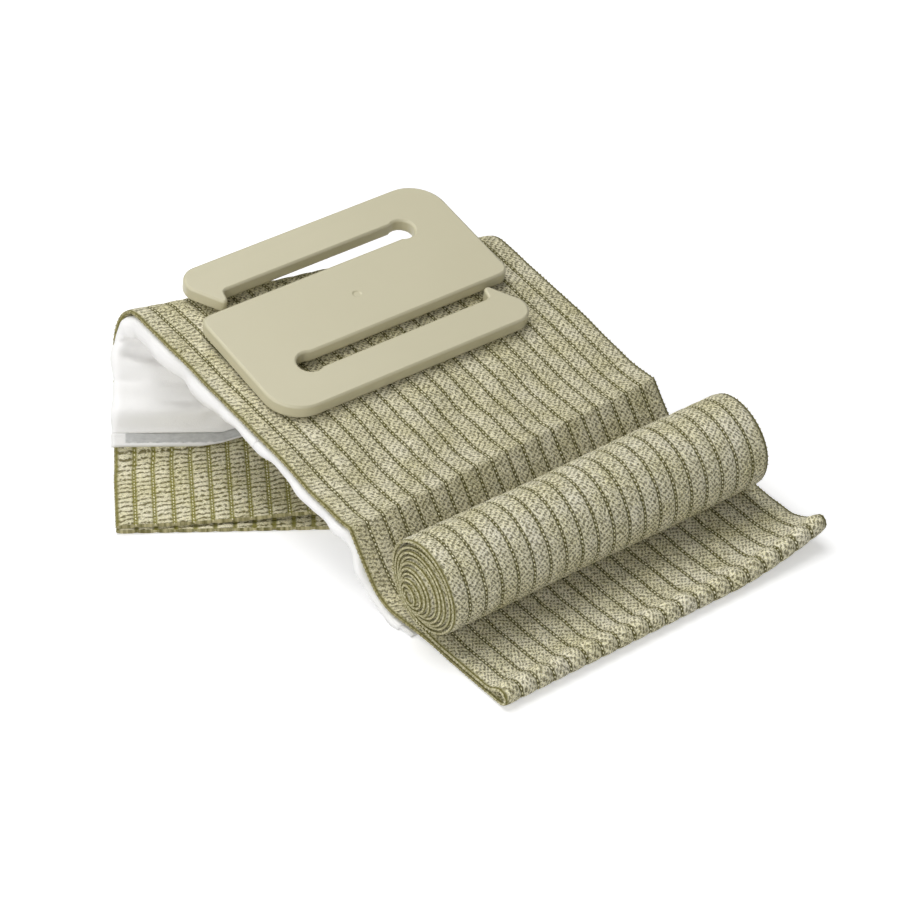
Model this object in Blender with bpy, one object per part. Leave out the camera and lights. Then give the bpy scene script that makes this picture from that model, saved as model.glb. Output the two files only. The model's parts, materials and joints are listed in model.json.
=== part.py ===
# Pressure dressing: an elastic wrap, a folded absorbent pad under it, a wound roll and a moulded S plate.
# Metres, +Z up, +X across the wrap, +Y from its front fold towards the folded pad, on the floor at Z = 0.
import math

import bmesh
import bpy
from mathutils import Matrix, Vector

# Elastic wrap
WRAP_WIDTH = 0.100
WRAP_THICKNESS = 0.0012
FIT_GAP = 0.0003
WRAP_COLUMNS = 12

# Floor run, step and crease, as a side profile of the wrap's upper face
NOSE_Y = -0.0113
RISE_Y = 0.013
FOOT_Y = 0.0374
FOOT_Z = 0.0035
CREASE_X = -0.0032
CREASE_Y = 0.0494
CREASE_Z = 0.0204
RISE_FILLET = 0.060
FOOT_FILLET = 0.012
PATH_STEPS = 8

# Sloping panel over the pad, and the fold at its high end
SLOPE_TILT = math.radians(9.9)
SLOPE_YAW = math.radians(2.0)
SLOPE_LENGTH = 0.076
RIDGE_SKEW = math.radians(15.2)
FOLD_ANGLE = math.radians(148.5)
FOLD_RADIUS = 0.0077
TROUGH_LENGTH = 0.030
TROUGH_DEPTH = 0.0014
SLOPE_ROWS = 12
FOLD_ROWS = 8
BACK_ROWS = 6

# Absorbent pad layers, as depths below the wrap's outer face
BACKING_THICKNESS = 0.0004
FACING_THICKNESS = 0.0005
CORE_EDGE = 0.0014
CORE_CROWN = 0.0020
PAD_HALF_WIDTH = 0.0512
PAD_BACK_END = 0.1346
PAD_END_SLANT = 0.105
HEM_WIDTH = 0.0035
HEM_THICKNESS = 0.0009
TIP_HEM_START_Y = 0.024
TIP_HEM_THICKNESS = 0.0006
LEAST_PAD_DEPTH = 0.0040

# Tail on the floor, two layers
TAIL_LENGTH = 0.022
TAIL_TURN = math.radians(-31.8)
UNDER_TURN = math.radians(-35.3)
UNDER_LENGTH = 0.016
TAIL_LIFT = 0.0022
TAIL_ROWS = 6

# Wound roll
ROLL_RADIUS = 0.0137
ROLL_TURNS = 6.75
ROLL_PITCH = 0.0017
ROLL_STEPS = 26
ROLL_TELESCOPE = 0.0045
ROLL_TANGENT_Y = 0.0232
ROLL_COLUMNS = 4
LEAST_LOOP_GAP = 0.0004

# Moulded S plate
PLATE_LENGTH = 0.0826
PLATE_DEPTH = 0.0574
PLATE_THICKNESS = 0.0040
PLATE_BEVEL = 0.0006
PLATE_U = -0.0002
PLATE_V = 0.0627
PLATE_TURN = math.radians(-3.1)
PLATE_TILT = math.radians(1.3)
PLATE_CORNER = 0.010
PLATE_SMALL_CORNER = 0.003
SLOT_CENTRE = 0.0148
SLOT_WIDTH = 0.0058
SLOT_KEY_X = 0.0247
SLOT_KEY_RADIUS = 0.0035
HOOK_END_X = 0.0376
HOOK_END_RADIUS = 0.0050
HOOK_TIP_X = 0.0318
HOOK_TIP_RADIUS = 0.0011
HOOK_MOUTH = 0.0020
HOOK_SWEEP = 205
HOOK_TIP_SWEEP = 350
HOOK_THROAT_X = 0.0290
HOOK_THROAT_RADIUS = 0.0013
GATE_RADIUS = 0.0013
GATE_DEPTH = 0.00025
GATE_FLOOR_SHARE = 0.7
GATE_POINTS = 12

# Colours, roughness
WRAP_COLOUR = (0.53, 0.50, 0.35, 1.0)
PAD_COLOUR = (0.86, 0.86, 0.84, 1.0)
CORE_COLOUR = (0.80, 0.79, 0.75, 1.0)
BACKING_COLOUR = (0.72, 0.73, 0.73, 1.0)
HEM_COLOUR = (0.58, 0.59, 0.60, 1.0)
PLATE_COLOUR = (0.54, 0.50, 0.35, 1.0)

HALF_WIDTH = WRAP_WIDTH / 2
BACKING_TOP = WRAP_THICKNESS + FIT_GAP
CORE_TOP = BACKING_TOP + BACKING_THICKNESS + FIT_GAP
FACING_LIFT = FIT_GAP + FACING_THICKNESS
FOLD_MEAN_RADIUS = FOLD_RADIUS - WRAP_THICKNESS / 2

# Directions of the sloping panel and of the panel beyond the fold
ACROSS = Vector((math.cos(SLOPE_YAW), math.sin(SLOPE_YAW), 0.0))
LEVEL = Vector((-math.sin(SLOPE_YAW), math.cos(SLOPE_YAW), 0.0))
UPHILL = LEVEL * math.cos(SLOPE_TILT) + Vector((0.0, 0.0, math.sin(SLOPE_TILT)))
ABOVE = ACROSS.cross(UPHILL)
CREASE = Vector((CREASE_X, CREASE_Y, CREASE_Z))
RIDGE = ACROSS * math.cos(RIDGE_SKEW) - UPHILL * math.sin(RIDGE_SKEW)
RIDGE_OUT = ACROSS * math.sin(RIDGE_SKEW) + UPHILL * math.cos(RIDGE_SKEW)
FOLD_AXIS = CREASE + UPHILL * SLOPE_LENGTH - ABOVE * FOLD_RADIUS
BACK_NORMAL = ABOVE * math.cos(FOLD_ANGLE) + RIDGE_OUT * math.sin(FOLD_ANGLE)
BACK_DOWN = RIDGE_OUT * math.cos(FOLD_ANGLE) - ABOVE * math.sin(FOLD_ANGLE)
FOLD_END = FOLD_MEAN_RADIUS * FOLD_ANGLE
FOLD_MIDDLE = ABOVE * math.cos(FOLD_ANGLE / 2) + RIDGE_OUT * math.sin(FOLD_ANGLE / 2)
RIDGE_LINE = FOLD_AXIS + FOLD_MIDDLE * FOLD_RADIUS


def clear_scene():
    for obj in list(bpy.data.objects):
        bpy.data.objects.remove(obj, do_unlink=True)


def material(name, colour, roughness):
    made = bpy.data.materials.new(name)
    made.use_nodes = True
    shader = made.node_tree.nodes["Principled BSDF"]
    shader.inputs["Base Color"].default_value = colour
    shader.inputs["Roughness"].default_value = roughness
    shader.inputs["Metallic"].default_value = 0.0
    return made


def add_object(name, mesh_data, colour, roughness, parent):
    mesh = bpy.data.meshes.new(name)
    mesh_data.to_mesh(mesh)
    mesh_data.free()
    mesh.materials.append(material(name, colour, roughness))
    obj = bpy.data.objects.new(name, mesh)
    bpy.context.collection.objects.link(obj)
    if parent is not None:
        obj.parent = parent
        obj.matrix_parent_inverse = parent.matrix_world.inverted()
    return obj


def pivot(name, place, parent):
    empty = bpy.data.objects.new(name, None)
    empty.empty_display_size = 0.01
    bpy.context.collection.objects.link(empty)
    empty.location = place
    bpy.context.view_layer.update()
    if parent is not None:
        empty.parent = parent
        empty.matrix_parent_inverse = parent.matrix_world.inverted()
    bpy.context.view_layer.update()
    return empty


def sheet_solid(name, front, back, colour, roughness, parent):
    """A closed sheet between two grids of points with the same rows and columns."""
    mesh = bmesh.new()
    rows = len(front)
    columns = len(front[0])
    upper = [[mesh.verts.new(p) for p in row] for row in front]
    lower = [[mesh.verts.new(p) for p in row] for row in back]
    for i in range(rows - 1):
        for j in range(columns - 1):
            top = mesh.faces.new((upper[i][j], upper[i][j + 1], upper[i + 1][j + 1], upper[i + 1][j]))
            bottom = mesh.faces.new((lower[i][j], lower[i + 1][j], lower[i + 1][j + 1], lower[i][j + 1]))
            top.smooth = True
            bottom.smooth = True
    for i in range(rows - 1):
        mesh.faces.new((upper[i][0], upper[i + 1][0], lower[i + 1][0], lower[i][0]))
        mesh.faces.new((upper[i + 1][-1], upper[i][-1], lower[i][-1], lower[i + 1][-1]))
    for j in range(columns - 1):
        mesh.faces.new((upper[0][j + 1], upper[0][j], lower[0][j], lower[0][j + 1]))
        mesh.faces.new((upper[-1][j], upper[-1][j + 1], lower[-1][j + 1], lower[-1][j]))
    bmesh.ops.recalc_face_normals(mesh, faces=mesh.faces)
    return add_object(name, mesh, colour, roughness, parent)


def spread(first, last, count):
    return [first + (last - first) * k / count for k in range(count + 1)]


def smooth_step(value):
    value = min(1.0, max(0.0, value))
    return value * value * (3 - 2 * value)


# Side profile of the floor run and step
def rounded_path(corners, radii, steps):
    """Points and leftward normals along a chain of straight runs with filleted corners."""
    points = [Vector(corners[0])]
    for k in range(1, len(corners) - 1):
        here = Vector(corners[k])
        before = (Vector(corners[k - 1]) - here).normalized()
        after = (Vector(corners[k + 1]) - here).normalized()
        half = before.angle(after) / 2
        centre = here + (before + after).normalized() * (radii[k - 1] / math.sin(half))
        reach = radii[k - 1] / math.tan(half)
        first = here + before * reach - centre
        last = here + after * reach - centre
        for step in range(steps + 1):
            ray = first.lerp(last, step / steps).normalized()
            points.append(centre + ray * radii[k - 1])
    points.append(Vector(corners[-1]))
    normals = []
    for k in range(len(points)):
        along = (points[min(k + 1, len(points) - 1)] - points[max(k - 1, 0)]).normalized()
        normals.append(Vector((-along.y, along.x)))
    return points, normals


LEAD_CORNERS = ((NOSE_Y, WRAP_THICKNESS), (RISE_Y, WRAP_THICKNESS), (FOOT_Y, FOOT_Z), (CREASE_Y, CREASE_Z))
STEP_ANGLE = math.atan2(CREASE_Z - FOOT_Z, CREASE_Y - FOOT_Y)
RISE_ANGLE = math.atan2(FOOT_Z - WRAP_THICKNESS, FOOT_Y - RISE_Y)
CREASE_BEND = STEP_ANGLE - SLOPE_TILT
CREASE_MITRE = math.tan(CREASE_BEND / 2)


def lead_share(y):
    return smooth_step((y - RISE_Y) / (CREASE_Y - RISE_Y))


def lead_point(u, point, normal, depth):
    y = point.x - normal.x * depth
    z = point.y - normal.y * depth
    share = lead_share(point.x)
    return Vector((u + CREASE_X * share, y + u * math.tan(SLOPE_YAW) * share, z))


def lead_path(path, depth):
    """The side path for one depth, with its crease end mitred against the sloping panel."""
    points, normals = path
    along = (points[-1] - points[-2]).normalized()
    cut = points[-1] - along * (FIT_GAP + depth * CREASE_MITRE)
    return points[:-1] + [cut], normals[:-1] + [Vector((-along.y, along.x))]


# Sloping panel, fold and the panel beyond it
def trough(u, s):
    """A soft hollow in the sloping panel, between the crease and the plate."""
    v = SLOPE_LENGTH + (s - u * math.sin(RIDGE_SKEW)) / math.cos(RIDGE_SKEW)
    if v <= 0.0 or v >= TROUGH_LENGTH:
        return 0.0
    return TROUGH_DEPTH * math.sin(math.pi * v / TROUGH_LENGTH) ** 2


def dressing_point(u, s, depth):
    """A point at depth below the outer face, s past the start of the fold, square to the ridge."""
    base = FOLD_AXIS + RIDGE * (u / math.cos(RIDGE_SKEW) - s * math.tan(RIDGE_SKEW))
    radius = FOLD_RADIUS - depth
    if s <= 0.0:
        return base + RIDGE_OUT * s + ABOVE * (radius - trough(u, s))
    if s < FOLD_END:
        turn = s / FOLD_MEAN_RADIUS
        return base + (ABOVE * math.cos(turn) + RIDGE_OUT * math.sin(turn)) * radius
    return base + BACK_DOWN * (s - FOLD_END) + BACK_NORMAL * radius


def flat_distance(u, v):
    return u * math.sin(RIDGE_SKEW) + (v - SLOPE_LENGTH) * math.cos(RIDGE_SKEW)


def fold_half_gap(depth):
    return FIT_GAP / 2 * FOLD_MEAN_RADIUS / max(FOLD_RADIUS - depth, FIT_GAP)


def front_stations(u, depth):
    first = flat_distance(u, depth * CREASE_MITRE)
    last = FOLD_END / 2 - fold_half_gap(depth)
    return spread(first, 0.0, SLOPE_ROWS)[:-1] + spread(0.0, last, FOLD_ROWS)


def floor_distance(u, depth, height):
    """How far past the fold the panel beyond it comes down to a height."""
    base = dressing_point(u, FOLD_END, depth).z
    fall = BACK_DOWN.z - RIDGE.z * math.tan(RIDGE_SKEW)
    return FOLD_END + (height - base) / fall


def back_stations(u, depth, end):
    first = FOLD_END / 2 + fold_half_gap(depth)
    return spread(first, FOLD_END, FOLD_ROWS)[:-1] + spread(FOLD_END, end(u, depth), BACK_ROWS)


TAIL_TOP = 2 * WRAP_THICKNESS + FIT_GAP


def wrap_back_end(u, depth):
    return floor_distance(u, depth, TAIL_TOP + FIT_GAP)


def pad_back_end(u, depth):
    v = PAD_BACK_END - PAD_END_SLANT * (u + HALF_WIDTH)
    clear = floor_distance(u, depth, TAIL_TOP + HEM_WIDTH + 2 * FIT_GAP)
    return min(flat_distance(u, v), clear)


def pad_hem_start(u, depth):
    return pad_back_end(u, depth) + FIT_GAP


def pad_hem_end(u, depth):
    return pad_hem_start(u, depth) + HEM_WIDTH - FIT_GAP


# Cross-sections of the layers, as pairs of (across, depth)
def flat_section(half, top, thickness, columns):
    return [((u, top), (u, top + thickness)) for u in spread(-half, half, columns)]


def core_thickness(u):
    share = min(1.0, abs(u) / HALF_WIDTH)
    return CORE_EDGE + CORE_CROWN * (1 - share ** 2.5)


CORE_HALF = PAD_HALF_WIDTH - FACING_THICKNESS - 2 * FIT_GAP


def core_section():
    rows = spread(-CORE_HALF, CORE_HALF, WRAP_COLUMNS)
    return [((u, CORE_TOP), (u, CORE_TOP + core_thickness(u))) for u in rows]


def facing_section():
    """The facing runs under the core and turns up along both of its sides."""
    inner = PAD_HALF_WIDTH - FACING_THICKNESS
    rows = spread(-inner, inner, WRAP_COLUMNS)
    pairs = [((-inner, BACKING_TOP), (-PAD_HALF_WIDTH, BACKING_TOP))]
    for u in rows:
        top = CORE_TOP + core_thickness(u) + FIT_GAP
        out = math.copysign(PAD_HALF_WIDTH, u) if abs(u) == inner else u
        pairs.append(((u, top), (out, top + FACING_THICKNESS)))
    pairs.append(((inner, BACKING_TOP), (PAD_HALF_WIDTH, BACKING_TOP)))
    return pairs


def dressing_sheet(name, section, stations, colour, roughness, parent):
    """A layer of the dressing, swept along the stations that a function gives for its section."""
    grids = []
    for side in range(2):
        lines = []
        for pair in section:
            u, depth = pair[side]
            lines.append([dressing_point(u, s, depth) for s in stations(u, depth)])
        grids.append([list(row) for row in zip(*lines)])
    return sheet_solid(name, grids[0], grids[1], colour, roughness, parent)


def lead_sheet(name, section, first, colour, roughness, parent, limit=None):
    """A layer under the floor run and step, from the first path point to the crease."""
    grids = []
    for side in range(2):
        lines = []
        for pair in section:
            u, depth = pair[side]
            points, normals = lead_path(PATH, depth)
            line = []
            for k in range(first, len(points)):
                held = depth if limit is None else limit(u, depth, points[k], normals[k])
                line.append(lead_point(u, points[k], normals[k], held))
            lines.append(line)
        grids.append([list(row) for row in zip(*lines)])
    return sheet_solid(name, grids[0], grids[1], colour, roughness, parent)


PATH = rounded_path(LEAD_CORNERS, (RISE_FILLET, FOOT_FILLET), PATH_STEPS)


def room_below(point, normal):
    """The depth at which the floor lies under a point of the step."""
    return point.y / normal.y - FIT_GAP


def squeezed(u, depth, point, normal):
    """Presses the pad layers together where the step leaves less room than their full depth."""
    full = CORE_TOP + core_thickness(u) + FACING_LIFT
    room = room_below(point, normal)
    if depth <= CORE_TOP or room >= full:
        return depth
    spare = CORE_TOP + FACING_LIFT
    thinner = (room - spare) / core_thickness(u)
    below_core = max(0.0, depth - CORE_TOP - core_thickness(u))
    inside = min(depth - CORE_TOP, core_thickness(u))
    return CORE_TOP + inside * thinner + below_core


def first_padded_point():
    points, normals = PATH
    for k in range(len(points)):
        if points[k].x > TIP_HEM_START_Y and room_below(points[k], normals[k]) > LEAST_PAD_DEPTH:
            return k
    raise ValueError("the step is too low for the pad")


def tip_hem(parent):
    """The pad's sealed front edge, flat under the wrap on the floor."""
    points, normals = PATH
    last = first_padded_point()
    end = points[last] - (points[last] - points[last - 1]).normalized() * FIT_GAP
    start = Vector((TIP_HEM_START_Y, WRAP_THICKNESS + (TIP_HEM_START_Y - RISE_Y) * math.tan(RISE_ANGLE)))
    rise = Vector((-math.sin(RISE_ANGLE), math.cos(RISE_ANGLE)))
    between = [k for k in range(last) if points[k].x > start.x + FIT_GAP]
    track = [(start, rise)] + [(points[k], normals[k]) for k in between] + [(end, normals[last])]
    columns = spread(-PAD_HALF_WIDTH, PAD_HALF_WIDTH, WRAP_COLUMNS)
    top = [[lead_point(u, p, n, BACKING_TOP) for u in columns] for p, n in track]
    bottom = [[lead_point(u, p, n, BACKING_TOP + TIP_HEM_THICKNESS) for u in columns] for p, n in track]
    return sheet_solid("pad_tip_hem", top, bottom, HEM_COLOUR, 0.8, parent)


# Tail on the floor
def tail_layer(name, start, turn, length, far_length, low, lift, parent):
    """A layer on the floor: its front edge runs at an angle from a corner, and it reaches back."""
    along = Vector((math.cos(turn), math.sin(turn), 0.0))
    backward = Vector((-along.y, along.x, 0.0))
    front = []
    back = []
    for row in spread(0.0, 1.0, TAIL_ROWS):
        upper = []
        lower = []
        for u in spread(0.0, WRAP_WIDTH, WRAP_COLUMNS):
            reach = length + (far_length - length) * u / WRAP_WIDTH
            rise = lift * smooth_step(u / HALF_WIDTH) * (1 - row) ** 3
            place = start + along * u + backward * (reach * row)
            upper.append(Vector((place.x, place.y, low + rise + WRAP_THICKNESS)))
            lower.append(Vector((place.x, place.y, low + rise)))
        front.append(upper)
        back.append(lower)
    return sheet_solid(name, front, back, WRAP_COLOUR, 0.9, parent)


def panel_foot(u):
    """Where the inner face of the panel beyond the fold comes down to the tail."""
    return dressing_point(u, wrap_back_end(u, WRAP_THICKNESS), WRAP_THICKNESS)


def tail_corner():
    """The near front corner of the tail, past where the panel beyond the fold reaches the floor."""
    forward = Vector((math.sin(TAIL_TURN), -math.cos(TAIL_TURN), 0.0))
    corner = panel_foot(-HALF_WIDTH) + forward * TAIL_LENGTH
    return Vector((corner.x, corner.y, 0.0))


def tail_far_length():
    """The tail's length along its far edge, up to the line where the panel beyond the fold meets it."""
    along = Vector((math.cos(TAIL_TURN), math.sin(TAIL_TURN), 0.0))
    backward = Vector((-along.y, along.x, 0.0))
    far = tail_corner() + along * WRAP_WIDTH
    return (panel_foot(HALF_WIDTH) - far).dot(backward)


# Return layer and roll
def roll_path():
    """Side path of the return layer and winding, with the sideways shift of each point."""
    half = WRAP_THICKNESS / 2
    points = [(NOSE_Y, WRAP_THICKNESS + FIT_GAP + half, 0.0)]
    lift = FIT_GAP + half
    rise = Vector((math.cos(RISE_ANGLE), math.sin(RISE_ANGLE)))
    normal = Vector((-rise.y, rise.x))
    tangent = Vector((ROLL_TANGENT_Y, WRAP_THICKNESS + (ROLL_TANGENT_Y - RISE_Y) * math.tan(RISE_ANGLE)))
    tangent = tangent + normal * lift
    lead, normals = PATH
    for k in range(1, PATH_STEPS + 2):
        above = lead[k] + normals[k] * lift
        points.append((above.x, above.y, 0.0))
    outer = ROLL_RADIUS - half
    centre = tangent + normal * outer
    count = int(ROLL_TURNS * ROLL_STEPS)
    for k in range(count + 1):
        turns = k / ROLL_STEPS
        angle = -math.pi / 2 + RISE_ANGLE + turns * 2 * math.pi
        radius = outer - ROLL_PITCH * turns
        shift = -ROLL_TELESCOPE * smooth_step((turns - 1.0) / (ROLL_TURNS - 1.0))
        points.append((centre.x + radius * math.cos(angle), centre.y + radius * math.sin(angle), shift))
    return points


def least_loop_gap(points):
    """The least clear gap between the winding's loops, measured on its points."""
    start = PATH_STEPS + 2
    loops = [Vector((y, z)) for y, z, shift in points[start:]]
    least = 1.0
    for k in range(len(loops)):
        for other in range(k + ROLL_STEPS // 2, len(loops) - 1):
            along = loops[other + 1] - loops[other]
            part = (loops[k] - loops[other]).dot(along) / along.length_squared
            near = loops[other] + along * min(1.0, max(0.0, part))
            least = min(least, (loops[k] - near).length)
    return least - WRAP_THICKNESS


def roll(parent):
    points = roll_path()
    gap = least_loop_gap(points)
    print(f"least gap between the roll's loops: {gap * 1000:.2f} mm")
    if gap <= LEAST_LOOP_GAP:
        raise ValueError("the roll's loops are too close: raise ROLL_PITCH")
    upper = []
    lower = []
    for k, (y, z, shift) in enumerate(points):
        before = points[max(k - 1, 0)]
        after = points[min(k + 1, len(points) - 1)]
        along = Vector((after[0] - before[0], after[1] - before[1])).normalized()
        off = Vector((-along.y, along.x)) * (WRAP_THICKNESS / 2)
        columns = spread(-HALF_WIDTH + shift, HALF_WIDTH + shift, ROLL_COLUMNS)
        upper.append([Vector((x, y + off.x, z + off.y)) for x in columns])
        lower.append([Vector((x, y - off.x, z - off.y)) for x in columns])
    return sheet_solid("wrap_roll", upper, lower, WRAP_COLOUR, 0.9, parent)


# Moulded plate
def arc(centre, radius, first, last, steps):
    turns = spread(math.radians(first), math.radians(last), steps)
    return [Vector((centre[0] + radius * math.cos(t), centre[1] + radius * math.sin(t))) for t in turns]


def plate_half():
    """Half of the S outline; the other half is this one turned by 180 degrees."""
    right = PLATE_LENGTH / 2
    top = PLATE_DEPTH / 2
    slot_top = SLOT_CENTRE + SLOT_WIDTH / 2
    slot_low = SLOT_CENTRE - SLOT_WIDTH / 2
    outline = arc((right - PLATE_SMALL_CORNER, PLATE_SMALL_CORNER - slot_low), PLATE_SMALL_CORNER, -90, 0, 4)
    outline += arc((right - PLATE_CORNER, top - PLATE_CORNER), PLATE_CORNER, 0, 90, 10)
    end_centre = (HOOK_END_RADIUS - HOOK_END_X, top - HOOK_END_RADIUS)
    outline += arc(end_centre, HOOK_END_RADIUS, 90, HOOK_SWEEP, 9)
    tip_centre = (-HOOK_TIP_X, slot_low + HOOK_MOUTH + HOOK_TIP_RADIUS)
    outline += arc(tip_centre, HOOK_TIP_RADIUS, HOOK_SWEEP, HOOK_TIP_SWEEP, 5)
    throat_centre = (-HOOK_THROAT_X, slot_top - HOOK_THROAT_RADIUS)
    outline += arc(throat_centre, HOOK_THROAT_RADIUS, 180, 90, 4)
    key_low = math.degrees(math.asin((slot_top - SLOT_CENTRE) / SLOT_KEY_RADIUS))
    outline += arc((SLOT_KEY_X, SLOT_CENTRE), SLOT_KEY_RADIUS, 180 - key_low, key_low - 180, 14)
    return outline


def plate(parent):
    half = plate_half()
    outline = half + [-p for p in half]
    mesh = bmesh.new()
    verts = [mesh.verts.new((p.x, p.y, 0.0)) for p in outline]
    face = mesh.faces.new(verts)
    raised = bmesh.ops.extrude_face_region(mesh, geom=[face])["geom"]
    moved = [item for item in raised if isinstance(item, bmesh.types.BMVert)]
    bmesh.ops.translate(mesh, verts=moved, vec=(0.0, 0.0, PLATE_THICKNESS))
    bmesh.ops.recalc_face_normals(mesh, faces=mesh.faces)
    rims = [edge for edge in mesh.edges if abs(edge.verts[0].co.z - edge.verts[1].co.z) < FIT_GAP]
    bmesh.ops.bevel(mesh, geom=rims, offset=PLATE_BEVEL, segments=2, profile=0.5, affect="EDGES")
    gate_mark(mesh)
    for item in mesh.faces:
        item.smooth = abs(item.normal.z) < 0.999
    turned = Matrix.Rotation(PLATE_TURN, 3, "Z") @ Matrix.Rotation(PLATE_TILT, 3, "X")
    basis = Matrix((ACROSS, UPHILL, ABOVE)).transposed() @ turned
    rest_height = FIT_GAP + PLATE_DEPTH / 2 * math.sin(PLATE_TILT)
    place = CREASE + ACROSS * PLATE_U + UPHILL * PLATE_V + ABOVE * rest_height
    mesh.transform(Matrix.Translation(place) @ basis.to_4x4())
    bmesh.ops.recalc_face_normals(mesh, faces=mesh.faces)
    return add_object("pressure_plate", mesh, PLATE_COLOUR, 0.45, parent)


def gate_mark(mesh):
    """The shallow round mark that the mould's gate leaves in the middle of the top face."""
    top = max(mesh.faces, key=lambda item: item.calc_center_median().z + item.calc_area())
    sweep = 360 - 360 / GATE_POINTS
    ring = arc((0.0, 0.0), GATE_RADIUS, 0, sweep, GATE_POINTS - 1)
    floor_ring = arc((0.0, 0.0), GATE_RADIUS * GATE_FLOOR_SHARE, 0, sweep, GATE_POINTS - 1)
    sunk = [mesh.verts.new((p.x, p.y, PLATE_THICKNESS - GATE_DEPTH)) for p in floor_ring]
    rim = [mesh.verts.new((p.x, p.y, PLATE_THICKNESS)) for p in ring]
    border = [loop.vert for loop in top.loops]
    mesh.faces.remove(top)
    edges = [mesh.edges.get((border[k], border[k - 1])) for k in range(len(border))]
    edges += [mesh.edges.new((rim[k], rim[k - 1])) for k in range(len(rim))]
    bmesh.ops.triangle_fill(mesh, edges=edges, use_beauty=True)
    for k in range(len(rim)):
        mesh.faces.new((rim[k - 1], rim[k], sunk[k], sunk[k - 1]))
    mesh.faces.new(sunk)


# Build
def build():
    clear_scene()
    lead_top = flat_section(HALF_WIDTH, 0.0, WRAP_THICKNESS, WRAP_COLUMNS)
    backing = flat_section(CORE_HALF, BACKING_TOP, BACKING_THICKNESS, WRAP_COLUMNS)

    dressing = pivot("dressing_pivot", CREASE, None)
    back = pivot("back_pivot", RIDGE_LINE, dressing)
    tail = pivot("tail_pivot", panel_foot(-HALF_WIDTH), back)
    plate_rest = pivot("plate_pivot", CREASE + ACROSS * PLATE_U + UPHILL * PLATE_V, dressing)
    roll_rest = pivot("roll_pivot", Vector((0.0, NOSE_Y, WRAP_THICKNESS + FIT_GAP / 2)), None)

    lead_sheet("wrap_lead", lead_top, 0, WRAP_COLOUR, 0.9, None)
    padded = first_padded_point()
    lead_sheet("pad_step_backing", backing, padded, BACKING_COLOUR, 0.8, None)
    lead_sheet("pad_step_core", core_section(), padded, CORE_COLOUR, 0.95, None, squeezed)
    lead_sheet("pad_step_facing", facing_section(), padded, PAD_COLOUR, 0.8, None, squeezed)
    tip_hem(None)

    dressing_sheet("wrap_front_panel", lead_top, front_stations, WRAP_COLOUR, 0.9, dressing)
    dressing_sheet("pad_front_backing", backing, front_stations, BACKING_COLOUR, 0.8, dressing)
    dressing_sheet("pad_front_core", core_section(), front_stations, CORE_COLOUR, 0.95, dressing)
    dressing_sheet("pad_front_facing", facing_section(), front_stations, PAD_COLOUR, 0.8, dressing)

    def back_wrap(u, depth):
        return back_stations(u, depth, wrap_back_end)

    def back_pad(u, depth):
        return back_stations(u, depth, pad_back_end)

    def hem(u, depth):
        return spread(pad_hem_start(u, depth), pad_hem_end(u, depth), 2)

    dressing_sheet("wrap_back_panel", lead_top, back_wrap, WRAP_COLOUR, 0.9, back)
    dressing_sheet("pad_back_backing", backing, back_pad, BACKING_COLOUR, 0.8, back)
    dressing_sheet("pad_back_core", core_section(), back_pad, CORE_COLOUR, 0.95, back)
    dressing_sheet("pad_back_facing", facing_section(), back_pad, PAD_COLOUR, 0.8, back)
    hem_band = flat_section(PAD_HALF_WIDTH, BACKING_TOP, HEM_THICKNESS, WRAP_COLUMNS)
    dressing_sheet("pad_end_hem", hem_band, hem, HEM_COLOUR, 0.8, back)

    corner = tail_corner()
    far = tail_far_length()
    upper = WRAP_THICKNESS + FIT_GAP
    tail_layer("wrap_tail", corner, TAIL_TURN, TAIL_LENGTH, far, upper, TAIL_LIFT, tail)
    tail_layer("wrap_tail_under", corner, UNDER_TURN, UNDER_LENGTH, UNDER_LENGTH, 0.0, 0.0, tail)

    plate(plate_rest)
    roll(roll_rest)


build()
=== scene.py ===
import json
import math
from functools import partial

import bmesh
import bpy
import numpy as np
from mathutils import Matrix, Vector


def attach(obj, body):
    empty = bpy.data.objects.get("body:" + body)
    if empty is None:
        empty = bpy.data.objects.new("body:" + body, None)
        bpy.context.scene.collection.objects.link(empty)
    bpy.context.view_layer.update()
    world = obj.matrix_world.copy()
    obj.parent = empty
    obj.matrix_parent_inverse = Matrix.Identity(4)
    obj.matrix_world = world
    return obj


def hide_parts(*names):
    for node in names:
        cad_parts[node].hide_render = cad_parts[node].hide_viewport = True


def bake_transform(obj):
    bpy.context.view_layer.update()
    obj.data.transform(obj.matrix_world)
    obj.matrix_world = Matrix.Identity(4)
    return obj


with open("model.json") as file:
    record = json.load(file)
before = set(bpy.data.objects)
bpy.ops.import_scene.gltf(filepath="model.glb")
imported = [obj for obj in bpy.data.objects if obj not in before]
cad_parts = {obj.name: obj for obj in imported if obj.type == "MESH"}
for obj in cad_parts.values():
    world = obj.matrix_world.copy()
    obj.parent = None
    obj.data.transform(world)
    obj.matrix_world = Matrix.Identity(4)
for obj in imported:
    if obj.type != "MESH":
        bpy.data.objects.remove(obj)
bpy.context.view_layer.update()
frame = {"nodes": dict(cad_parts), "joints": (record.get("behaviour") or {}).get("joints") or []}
scene = bpy.context.scene
scene.view_settings.view_transform = "Standard"
joints = {joint["name"]: joint for joint in frame["joints"]}
mm = 0.001

# Directions of the folded dressing, taken from the joints
crease = np.array(joints["tent_lift"]["pos_m"])
across = np.array(joints["tent_lift"]["axis"])
above = np.array(joints["plate_lift"]["axis"])
uphill = np.cross(above, across)
ridge = np.array(joints["ridge_unfold"]["axis"])
ridgeOut = np.cross(above, ridge)
print("frame loaded:", len(frame["nodes"]), "nodes")

# Camera, floor and light
view = dict(azimuth=-37.1, elevation=37.1, distance=0.970, lens=153.2, sensor=36.0, clip=(0.05, 20.0),
            target=(-0.0141, 0.0587, 0.020))

def addObject(name, data):
    obj = bpy.data.objects.new(name, data)
    scene.collection.objects.link(obj)
    return obj

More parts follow.
